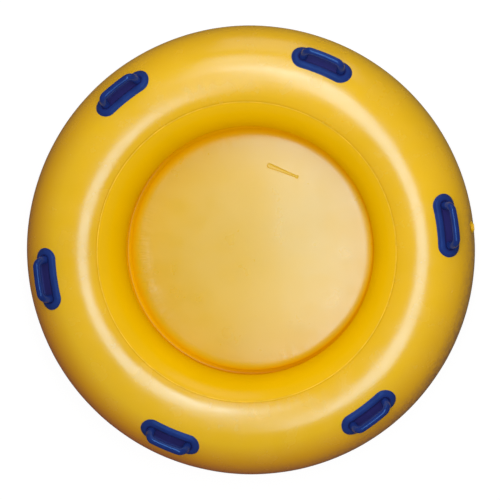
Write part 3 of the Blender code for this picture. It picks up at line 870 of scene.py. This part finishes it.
def make_grip_form():
    """Sweeps a ring of points along the grip."""
    stations = grip_points()
    bm = bmesh.new()
    last = None
    for k, (point, flare) in enumerate(stations):
        before = stations[max(k - 1, 0)][0]
        after = stations[min(k + 1, len(stations) - 1)][0]
        facing = (after - before).to_track_quat("Z", "X").to_matrix().to_4x4()
        made = bmesh.ops.create_circle(bm, segments=20, radius=GRIP_RADIUS * flare)["verts"]
        bmesh.ops.transform(bm, matrix=Matrix.Translation(point) @ facing, verts=made)
        hoop = list({e for v in made for e in v.link_edges})
        if last:
            bmesh.ops.bridge_loops(bm, edges=last + hoop)
        last = hoop
    bmesh.ops.holes_fill(bm, edges=bm.edges, sides=0)
    bmesh.ops.recalc_face_normals(bm, faces=bm.faces)
    return bm


def make_handles():
    pad, grip = make_pad_form(), make_grip_form()
    for k in range(HANDLE_COUNT):
        turned = Matrix.Rotation(tau * k / HANDLE_COUNT, 4, "Z")
        for label, form, finish, slot, node_name in (
            ("pad", pad, pad_finish, "handle", "base"),
            ("bar", grip, bar_finish, "grip", "grip"),
        ):
            copy = form.copy()
            bmesh.ops.transform(copy, matrix=turned, verts=copy.verts)
            number = f"handle_{k + 1}_"
            finished_piece(number + label, copy, finish, "tube", [number + node_name], sharp=50.0)


make_handles()


# Valve


def valve_frame():
    """Z out along the valve's axis, from the skin."""
    tilt, turn = radians(VALVE_ANGLE), radians(VALVE_AZIMUTH)
    out = Vector((cos(tilt) * cos(turn), cos(tilt) * sin(turn), sin(tilt)))
    side = Vector((-sin(turn), cos(turn), 0.0))
    turned = Matrix((side, out.cross(side), out)).transposed().to_4x4()
    joint = next(j for j in frame["record"]["behaviour"]["joints"] if j["name"] == "cap_turn")
    return Matrix.Translation(Vector(joint["pos_m"])) @ turned


VALVE = valve_frame()
CAP_RIBS, RIB_DEPTH = 24, 0.018
FINGER_BAR = (0.0225, 0.0045, 0.0040)
FINGER_BAR_ROUNDING = 0.0013
FINGER_BAR_HEIGHT = 0.0064


def turned_form(points, steps):
    """A turned form from (radius, height) down its outer side, standing on the valve's axis."""
    bm = bmesh.new()
    verts = [bm.verts.new((r, 0, z)) for r, z in points]
    for a, b in zip(verts, verts[1:]):
        bm.edges.new((a, b))
    whole_turn(bm, bm.verts[:] + bm.edges[:], steps)
    bmesh.ops.recalc_face_normals(bm, faces=bm.faces)
    return bm


def make_cap():
    """Screw cap: domed top, coin edge with grip ribs, finger bar with rounded ends."""
    profile = [(0.0, 0.0063), (0.0090, 0.0062), (0.0135, 0.0059), (0.0153, 0.0054), (0.0160, 0.0045)]
    profile += [(0.0161, 0.0029), (0.0159, 0.0026), (0.0110, 0.0026), (0.0110, -0.0021), (0.0108, -0.0023)]
    profile += [(0.0, -0.0023)]
    bm = turned_form(profile, 96)
    for v in bm.verts:
        if 0.0027 < v.co.z < 0.0055 and hypot(v.co.x, v.co.y) > 0.0143:
            shrink = 1.0 - RIB_DEPTH * (0.5 + 0.5 * sin(CAP_RIBS * azimuth_of(v.co)))
            v.co.x *= shrink
            v.co.y *= shrink
    bmesh.ops.transform(bm, matrix=VALVE, verts=bm.verts)
    finished_piece("valve_cap_shell", bm, cap_finish, "cap", ["valve_cap"], sharp=45.0)
    bm = bmesh.new()
    bmesh.ops.create_cube(bm, size=1.0)
    bmesh.ops.scale(bm, vec=FINGER_BAR, verts=bm.verts)
    bmesh.ops.bevel(
        bm,
        geom=bm.edges[:],
        offset=FINGER_BAR_ROUNDING,
        segments=4,
        profile=0.5,
        affect="EDGES",
        material=-1,
        clamp_overlap=True,
    )
    bmesh.ops.translate(bm, vec=(0, 0, FINGER_BAR_HEIGHT), verts=bm.verts)
    bmesh.ops.transform(bm, matrix=VALVE, verts=bm.verts)
    finished_piece("valve_finger_bar", bm, cap_finish, "cap", sharp=45.0)


make_cap()


# Finishes of the pieces that come from the frame

CAD_FINISHES = {
    "floor_flange": skin_finish,
    "valve_body": cap_finish,
    "valve_clamp_nut": valve_finish,
    "valve_stem": valve_finish,
    "valve_button": valve_finish,
    "valve_gasket": rubber_finish,
    "valve_seal": rubber_finish,
    "valve_cap_seal": rubber_finish,
    "valve_spring": steel_finish,
}
for node_name, material in CAD_FINISHES.items():
    node_object = objects[node_name]
    for slot_index in range(max(1, len(node_object.material_slots))):
        if not node_object.material_slots:
            node_object.data.materials.append(material)
        node_object.material_slots[slot_index].material = material


# Studio

# How strongly the surroundings show in glossy surfaces, and how strongly they light the object
GLOSSY_LEVEL = 0.04
AMBIENT_LEVEL = 0.54

# The studio floor's shade where it bounces light, shows in gloss, and is seen, with its glow when seen
FLOOR_BOUNCE = (0.28, 0.28, 0.28, 1)
FLOOR_IN_GLOSS = (0.04, 0.04, 0.04, 1)
FLOOR_SEEN = (0.12, 0.12, 0.12, 1)
FLOOR_GLOW = 0.93

# Name, place, aim, width, length and level of each lamp
LAMPS = (
    ("softbox_long", (0.38, 0.15, 2.67), (0.38, 0.15, 0.37), 0.95, 2.5, 0.60),
    ("softbox_beyond", (0.2, 2.1, 3.2), (0.1, 0.6, 0.37), 1.5, 2.0, 0.20),
    ("softbox_low", (1.0, 3.4, 1.1), (0.25, 0.8, 0.2), 2.6, 2.0, 0.16),
)

# The camera stands nearly over the ring, and is rolled a little about its own line of sight
CAMERA_PLACE = (0.4739, 0.1440, 5.4809 + CENTRE_HEIGHT)
CAMERA_TARGET = (0.0047, 0.0027, CENTRE_HEIGHT)
CAMERA_TURN = 0.1361
LENS = 105.9


def make_stage():
    """Pale floor: white to the camera, darker to the light that bounces off it."""
    bm = bmesh.new()
    bmesh.ops.create_grid(bm, x_segments=1, y_segments=1, size=9.0)
    mesh = bpy.data.meshes.new("studio_floor")
    bm.to_mesh(mesh)
    bm.free()
    stage = objects.new("studio_floor", mesh)
    bpy.context.scene.collection.objects.link(stage)
    material, tree, shader = start_material("studio_floor")
    path = tree.nodes.new("ShaderNodeLightPath")
    shade = blend_colour(tree, path.outputs["Is Glossy Ray"], FLOOR_BOUNCE, FLOOR_IN_GLOSS)
    shade = blend_colour(tree, path.outputs["Is Camera Ray"], shade, FLOOR_SEEN)
    cover = add(tree, "BsdfDiffuse", Color=shade)
    mirrored = maths(tree, "MULTIPLY", path.outputs["Is Glossy Ray"], GLOSSY_LEVEL)
    seen = maths(tree, "MULTIPLY_ADD", path.outputs["Is Camera Ray"], FLOOR_GLOW, mirrored)
    glow = add(tree, "Emission", Color=(1, 1, 1, 1), Strength=seen)
    both = add(tree, "AddShader", _0=cover.outputs[0], _1=glow.outputs[0])
    tree.links.new(both.outputs[0], tree.nodes["Material Output"].inputs["Surface"])
    tree.nodes.remove(shader)
    mesh.materials.append(material)


def make_world():
    world = bpy.data.worlds.new("studio")
    world.use_nodes = True
    bpy.context.scene.world = world
    tree = world.node_tree
    path = tree.nodes.new("ShaderNodeLightPath")
    seen = maths(tree, "MAXIMUM", path.outputs["Is Camera Ray"], path.outputs["Is Transmission Ray"])
    around = blend_colour(
        tree, path.outputs["Is Glossy Ray"], (AMBIENT_LEVEL,) * 3 + (1,), (GLOSSY_LEVEL,) * 3 + (1,)
    )
    strength = maths(tree, "MAXIMUM", seen, around)
    background = tree.nodes["Background"]
    background.inputs["Color"].default_value = (1, 1, 1, 1)
    feed(tree, background.inputs["Strength"], strength)


def softbox(name, place, aim, width, length, level):
    """An area lamp, which gives a white card at its aim this level of light."""
    lamp = bpy.data.lights.new(name, "AREA")
    lamp.shape = "RECTANGLE"
    lamp.size = width
    lamp.size_y = length
    away = Vector(place) - Vector(aim)
    lamp.energy = level * pi * pi * away.length_squared
    light = objects.new(name, lamp)
    light.location = place
    light.rotation_euler = away.to_track_quat("Z", "Y").to_euler()
    light.visible_camera = False
    bpy.context.scene.collection.objects.link(light)


def make_camera():
    data = bpy.data.cameras.new("camera")
    data.lens = LENS
    data.sensor_width = 36.0
    data.clip_end = 50.0
    camera = objects.new("camera", data)
    place = Vector(CAMERA_PLACE)
    back = (place - Vector(CAMERA_TARGET)).normalized()
    right = Vector((sin(CAMERA_TURN), cos(CAMERA_TURN), 0.0)).cross(back).normalized()
    turned = Matrix((right, back.cross(right), back)).transposed().to_4x4()
    camera.matrix_world = Matrix.Translation(place) @ turned
    bpy.context.scene.collection.objects.link(camera)
    bpy.context.scene.camera = camera


make_stage()
make_world()
for lamp in LAMPS:
    softbox(*lamp)
make_camera()
bpy.context.scene.view_settings.view_transform = "Standard"
